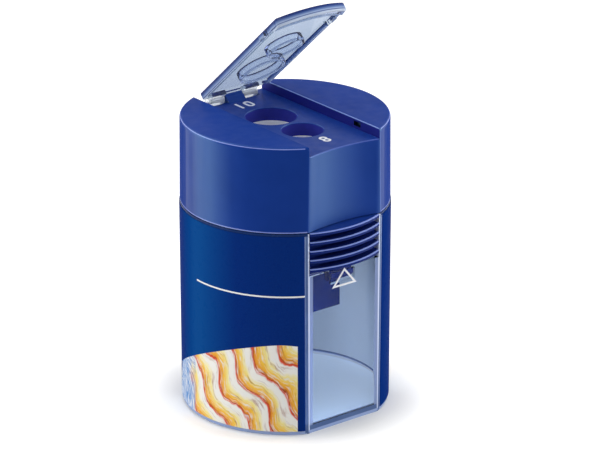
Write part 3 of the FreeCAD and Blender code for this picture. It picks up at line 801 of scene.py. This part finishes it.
def makePads(s):
    wide, bedded = s["tongueHalf"], -s["front"] + s["sink"]
    tongueLow = s["shelfLow"] + s["tongueLift"]
    pad = midSlab("frontPad", s["plateHalf"], -s["front"], -s["back"], s["low"], s["high"])
    roundEdges(pad, s["plateRound"], 3, lambda a, b: max(a.y, b.y) < -s["front"] + hair)
    addOn(pad, midSlab("shelf", wide, bedded, -s["tongueBack"], s["shelfLow"], s["high"] - s["inset"]),
          midSlab("tongue", wide, -s["tongueFront"], -s["tongueBack"], tongueLow, s["pivotZ"]),
          crossRod("root", s["root"], -wide, wide, -s["pivotY"], s["pivotZ"]),
          midSlab("heel", s["heelHalf"], bedded, -s["heelBack"], s["low"] + s["inset"], s["heelHigh"]))
    first = makeRib(s)
    for number in range(s["ribCount"]):
        addOn(pad, copyOf(first, "ribCopy", Matrix.Translation((0, 0, -s["ribPitch"] * number))))
    bpy.data.objects.remove(first, do_unlink=True)
    rear = copyOf(pad, "rearPad", Matrix.Rotation(math.pi, 4, "Z"))
    finishPiece(pad, bluePad, "front_press", ["front_press_pad"])
    finishPiece(rear, bluePad, "rear_press", ["rear_press_pad"])

    def onRibEdge(middle, normal):
        # painted highlight on the upper front edge of each rib
        out = math.hypot(middle.x, middle.y)
        return out > s["ribRadius"] - s["edgeReach"] and within(normal.z, s["edgeTilt"])

    # painted light: the top rib's upper face takes the head's paler blue
    def onPaintedLitLedge(middle, normal):
        return middle.z > s["high"] - s["topReach"] and normal.z > s["topTilt"]

    for piece in (pad, rear):
        addFinish(piece, paintedRibHighlight, onRibEdge)
        addFinish(piece, blueHead, onPaintedLitLedge)


makePads(padSizes)


lidSizes = {
    "openAngle": 41.8, "hingeY": 18.1, "hingeZ": 60.5, "half": 8.6, "radius": 21.5, "centreY": 1.605,
    "rearY": 15.8, "top": 61.9, "low": 60.4, "lipLow": 60.0, "lipY": -17.5, "under": 61.0, "cutLow": 50,
    "cutHigh": 70, "wellLow": 55, "wellGap": 0.03, "innerHalf": 7.7, "innerRadius": 19.5, "innerRearY": 14.9,
    "cornerRound": 0.25, "topRound": 0.3, "lipRound": 0.4, "wellRound": 0.25, "ringRound": 0.2,
    "knuckleRound": 0.15,
    "rings": ((4.62, 5.1), (-5.75, 4.1)), "ringWall": 0.7, "ringLow": 59.3, "ringRoot": 0.3, "ringFloor": 0.1,
    "knuckle": 1.2, "knuckleIn": 2.45, "knuckleOut": 6.05, "pinBore": 0.65, "armTop": 61.64, "armSink": 0.1,
    "inset": 0.02, "catchY": -12.2, "catchHalf": 1.3, "catchOut": 9.2, "slit": 0.3, "slitIn": 0.06,
    "toothZ": 60.95, "toothRise": 0.4, "toothHalf": 1.0, "toothRoot": 0.2, "guideY": -16.3, "guideOut": 0.15,
    # where the finishes begin and end
    "lipEdgeY": -15.5, "sideReach": 0.2, "sideTilt": 0.6, "knuckleReach": 0.05, "ringReach": 0.03,
    # each tint runs along a way of the shut lid, between two distances from the hinge;
    # a look is roughness, clearness and how far light bends
    # the plate's tint darkens towards the hinge: painted shade
    "plate": {"way": (0, -1, 0), "from": 3, "to": 36, "look": (0.014, 0.95, 1.06), "shades": (
        (0.0, (0.37, 0.43, 0.52, 1)), (0.4, (0.42, 0.49, 0.57, 1)), (0.75, (0.51, 0.58, 0.64, 1)),
        (1.0, (0.55, 0.61, 0.67, 1)))},
    # painted highlight and shade: pale and dark navy bands by height on the lip and sides
    "rim": {"way": (0, 0, 1), "from": -0.5, "to": 1.4, "look": (0.08, 0.3, 1.2), "shades": (
        (0.0, (0.75, 0.84, 0.98, 1)), (0.2, (0.55, 0.67, 0.9, 1)), (0.27, (0.03, 0.06, 0.28, 1)),
        (0.36, (0.44, 0.57, 0.84, 1)), (0.55, (0.14, 0.24, 0.56, 1)), (0.72, (0.03, 0.07, 0.28, 1)),
        (0.9, (0.015, 0.035, 0.2, 1)), (1.0, (0.004, 0.008, 0.08, 1)))},
    # painted highlight and shade: pale walls with dark lines by height on the rings
    "ring": {"way": (0, 0, 1), "from": -1.2, "to": 0.5, "look": (0.03, 0.94, 1.1), "shades": (
        (0.0, (0.95, 0.98, 1, 1)), (0.14, (0.85, 0.92, 0.96, 1)), (0.22, (0.07, 0.13, 0.34, 1)),
        (0.32, (0.94, 0.97, 1, 1)), (0.6, (0.86, 0.92, 0.98, 1)), (0.84, (0.92, 0.96, 1, 1)),
        (1.0, (0.03, 0.07, 0.28, 1)))},
}


def lidShades(name, s, tint):
    # clear moulding whose tint goes through its shades; the shades are painted highlight and shade
    first = tint["shades"][0][1]
    finish = clearPlastic(name, first, first, lidGlass, lidBody, *tint["look"])
    tree = finish.node_tree
    shader = tree.nodes["Principled BSDF"]
    place = tree.nodes["Texture Coordinate"].outputs["Object"]
    way = Matrix.Rotation(math.radians(-s["openAngle"]), 3, "X") @ Vector(tint["way"])
    start = way.dot(Vector((0, s["hingeY"], s["hingeZ"])))
    reach = wire(tree, "ShaderNodeVectorMath", {0: place, 1: way}, operation="DOT_PRODUCT").outputs["Value"]
    reach = sums(tree, "MULTIPLY", reach, 1 / toMetres)
    share = between(tree, reach, 0, 1, start + tint["from"], start + tint["to"])
    connect(tree, shader.inputs["Base Color"], colourRamp(tree, share, tint["shades"]))
    return finish


clearLid = lidShades("clearLid", lidSizes, lidSizes["plate"])
paintedLidEdgeBands = lidShades("paintedLidEdgeBands", lidSizes, lidSizes["rim"])
paintedLidRingBands = lidShades("paintedLidRingBands", lidSizes, lidSizes["ring"])


def lidTooth(s, side, y, outer):
    half, rise = s["toothHalf"], s["toothRise"]
    ends = span(side, s["innerHalf"] + s["toothRoot"], outer)
    return slab("tooth", *ends, y - half, y + half, s["toothZ"] - rise, s["toothZ"] + rise)


def lidRingBlock(s, y, outer):
    inner = outer - s["ringWall"]
    ring = drum("ring", outer, s["ringLow"], s["under"] + s["ringRoot"], holeSides, y)
    takeAway(ring, drum("ringInside", inner, s["cutLow"], s["under"] + s["ringFloor"], holeSides, y))
    roundEdges(ring, s["ringRound"], 3, lambda a, b: max(a.z, b.z) < s["ringLow"] + hair)
    return ring


def lidKnuckle(s, side):
    ends = span(side, s["knuckleIn"], s["knuckleOut"])
    barrel = crossRod("barrel", s["knuckle"], *ends, s["hingeY"], s["hingeZ"])
    roundEdges(barrel, s["knuckleRound"], 2, lambda a, b: abs(a.x - b.x) < hair)
    addOn(barrel, slab("arm", ends[0] + s["inset"], ends[1] - s["inset"],
                       s["innerRearY"] + s["armSink"], s["hingeY"], s["low"] + s["inset"], s["armTop"]))
    return barrel


def makeLid(s):
    def onLip(a, b):
        return max(a.z, b.z) < s["lipLow"] + hair and max(a.y, b.y) < s["lipY"]

    lid = drum("flipLid", s["radius"], s["lipLow"], s["top"], y=s["centreY"])
    sliceSides(lid, s["half"])
    sliceOff(lid, (0, s["rearY"], 0), (0, 1, 0))
    roundEdges(lid, s["cornerRound"], 3, lambda a, b: abs(a.z - b.z) > uprightRise)
    roundEdges(lid, s["topRound"], 4, lambda a, b: min(a.z, b.z) > s["top"] - hair)
    roundEdges(lid, s["lipRound"], 4, onLip)
    takeAway(lid, drum("step", s["innerRadius"], s["wellLow"], s["low"], y=s["centreY"]))
    wellRadius = s["innerRadius"] - s["wellGap"]  # no two cutters share a surface
    well = drum("well", wellRadius, s["wellLow"], s["under"], y=s["centreY"])
    sliceSides(well, s["innerHalf"])
    sliceOff(well, (0, s["innerRearY"], 0), (0, 1, 0))
    roundEdges(well, s["wellRound"], 3, lambda a, b: min(a.z, b.z) > s["under"] - hair)
    takeAway(lid, well)
    for y, outer in s["rings"]:
        addOn(lid, lidRingBlock(s, y, outer))
    for side in (-1, 1):
        addOn(lid, lidKnuckle(s, side), lidTooth(s, side, s["guideY"], s["half"] + s["guideOut"]))
        for edge in (-1, 1):
            start = s["catchY"] + edge * s["catchHalf"]
            ys = sorted((start, start + edge * s["slit"]))
            xs = span(side, s["innerHalf"] - s["slitIn"], farOff)
            takeAway(lid, slab("slit", *xs, *ys, s["cutLow"], s["cutHigh"]))
        addOn(lid, lidTooth(s, side, s["catchY"], s["catchOut"]))
    takeAway(lid, crossRod("pinBore", s["pinBore"], -farOff, farOff, s["hingeY"], s["hingeZ"]))
    hinge = Matrix.Translation((0, s["hingeY"], s["hingeZ"]))
    opened = hinge @ Matrix.Rotation(math.radians(-s["openAngle"]), 4, "X") @ hinge.inverted()
    lid.data.transform(opened)
    finishPiece(lid, clearLid, "lid", ["flip_lid", "left_lid_catch", "right_lid_catch"])
    shut = opened.inverted()

    def onRim(middle, normal):
        # painted highlight and shade bands on the lip and the lid's two sides
        place = shut @ middle
        out = math.hypot(place.x, place.y - s["centreY"])
        lip = out > s["innerRadius"] - 2 * hair and place.y < s["lipEdgeY"]
        return lip or (abs(middle.x) > s["half"] - s["sideReach"] and abs(normal.x) > s["sideTilt"])

    # the knuckles and arms, painted near-white as a glint
    def onKnuckle(middle, normal):
        place = shut @ middle
        away = math.hypot(place.y - s["hingeY"], place.z - s["hingeZ"])
        return away < s["knuckle"] + s["knuckleReach"] or place.y > s["rearY"] + 2 * hair

    # the ring walls, painted with highlight and shade bands
    def onRing(middle, normal):
        place, half = shut @ middle, s["ringWall"] / 2
        away = min(abs(math.hypot(place.x, place.y - y) - outer + half) for y, outer in s["rings"])
        return away < half + s["ringReach"] and place.z < s["under"] - 2 * hair

    addFinish(lid, paintedLidEdgeBands, onRim)
    addFinish(lid, paintedLidGlint, onKnuckle)
    addFinish(lid, paintedLidRingBands, onRing)


makeLid(lidSizes)


studio = {
    "distance": 0.71897, "azimuth": 38.048, "elevation": 21.399, "focalPixels": 3513.5, "imageWidth": 600,
    "sensor": 36.0, "aimRight": 0.003034, "aimHeight": 0.037627, "clipStart": 0.01,
    "floorSize": 6, "floorDrop": 0.0002, "floorTint": (0.74, 0.74, 0.74, 1),
    # the floor's glow is low round the object, a painted shade, and raised under the tub, painted light
    "floorGlow": (0.0, 0.55), "glowRadii": (0.019, 0.03), "farGlow": (0.0, 0.25), "farRadii": (0.2, 0.7),
    "underTub": 0.0205, "underFlat": 0.0188, "underTubPaintedLight": 0.36, "white": (1, 1, 1, 1), "skyLight": 0.37,
    # name, degrees left of the camera, degrees up, distance, width, height, power
    "lamps": (("leftBox", 84, 12, 0.62, 0.5, 0.55, 2.75), ("rightBox", -98, 7, 0.62, 0.42, 0.55, 3.9),
              ("topBox", -12, 60, 0.7, 0.3, 0.3, 1.0), ("overBox", 130, 72, 0.7, 0.45, 0.45, 1.5)),
}


def wayTo(azimuth, elevation):
    # from the object towards a place round it
    turn, lift = math.radians(azimuth), math.radians(elevation)
    return Vector((-math.sin(turn) * math.cos(lift), -math.cos(turn) * math.cos(lift), math.sin(lift)))


def placeCamera(s):
    back, turn = wayTo(s["azimuth"], s["elevation"]), math.radians(s["azimuth"])
    right = Vector((math.cos(turn), -math.sin(turn), 0))
    up = back.cross(right)
    data = bpy.data.cameras.new("camera")
    data.sensor_width = s["sensor"]
    data.sensor_fit = "HORIZONTAL"
    data.lens = s["focalPixels"] * s["sensor"] / s["imageWidth"]
    data.clip_start = s["clipStart"]
    camera = bpy.data.objects.new("camera", data)
    bpy.context.scene.collection.objects.link(camera)
    spot = right * s["aimRight"] + Vector((0, 0, s["aimHeight"])) + back * s["distance"]
    camera.matrix_world = Matrix.Translation(spot) @ Matrix((right, up, back)).transposed().to_4x4()
    bpy.context.scene.camera = camera


def placeLamps(s):
    # each box lamp faces the object
    aim = Vector((0, 0, s["aimHeight"]))
    for name, left, lift, distance, width, height, power in s["lamps"]:
        way = wayTo(s["azimuth"] + left, lift)
        data = bpy.data.lights.new(name, "AREA")
        data.shape = "RECTANGLE"
        data.size = width
        data.size_y = height
        data.energy = power
        lamp = bpy.data.objects.new(name, data)
        bpy.context.scene.collection.objects.link(lamp)
        facing = way.to_track_quat("Z", "Y").to_matrix().to_4x4()
        lamp.matrix_world = Matrix.Translation(aim + way * distance) @ facing


def seenShare(tree):
    # 1 where the background is seen straight, in gloss or through clear plastic
    path = tree.nodes.new("ShaderNodeLightPath").outputs
    share = sums(tree, "MAXIMUM", path["Is Camera Ray"], path["Is Glossy Ray"])
    return sums(tree, "MAXIMUM", share, path["Is Transmission Ray"])


def placeFloor(s):
    bpy.ops.object.select_all(action="DESELECT")
    bpy.ops.mesh.primitive_plane_add(size=s["floorSize"], location=(0, 0, -s["floorDrop"]))
    floor = nameFresh("floor")
    finish = bpy.data.materials.new("paleFloor")
    finish.use_nodes = True
    tree = finish.node_tree
    tree.nodes.remove(tree.nodes["Principled BSDF"])
    matt = wire(tree, "ShaderNodeBsdfDiffuse", {"Color": s["floorTint"]}).outputs[0]
    # the floor's glow fades out near the object, a painted shade round it on top of the real shadow, goes to
    # white further away, and is raised under the clear tub as painted light through it
    place = tree.nodes.new("ShaderNodeTexCoord").outputs["Object"]
    away = wire(tree, "ShaderNodeVectorMath", {0: place}, operation="LENGTH").outputs["Value"]
    deep = sums(tree, "ABSOLUTE", wire(tree, "ShaderNodeSeparateXYZ", {"Vector": place}).outputs["Y"])
    inRound = sums(tree, "LESS_THAN", away, s["underTub"])
    inFlats = sums(tree, "LESS_THAN", deep, s["underFlat"])
    under = sums(tree, "MULTIPLY", inRound, inFlats)
    near = between(tree, away, *s["floorGlow"], *s["glowRadii"])
    outer = sums(tree, "MULTIPLY", near, sums(tree, "SUBTRACT", 1, under))
    outer = sums(tree, "ADD", outer, between(tree, away, *s["farGlow"], *s["farRadii"]))
    level = sums(tree, "ADD", outer, sums(tree, "MULTIPLY", under, s["underTubPaintedLight"]))
    strength = sums(tree, "MULTIPLY", seenShare(tree), level)
    glow = wire(tree, "ShaderNodeEmission", {"Strength": strength}).outputs[0]
    both = wire(tree, "ShaderNodeAddShader", {0: matt, 1: glow}).outputs[0]
    tree.links.new(both, tree.nodes["Material Output"].inputs["Surface"])
    floor.data.materials.append(finish)


def placeSky(s):
    world = bpy.data.worlds.new("studio")
    world.use_nodes = True
    bpy.context.scene.world = world
    tree = world.node_tree
    soft = tree.nodes["Background"]
    soft.inputs["Color"].default_value = s["white"]
    soft.inputs["Strength"].default_value = s["skyLight"]
    white = wire(tree, "ShaderNodeBackground", {"Color": s["white"], "Strength": 1.0})
    mix = wire(tree, "ShaderNodeMixShader", {0: seenShare(tree), 1: soft.outputs[0], 2: white.outputs[0]})
    tree.links.new(mix.outputs[0], tree.nodes["World Output"].inputs["Surface"])


placeCamera(studio)
placeLamps(studio)
placeFloor(studio)
placeSky(studio)
bpy.context.scene.view_settings.view_transform = "Standard"
print("studio set")
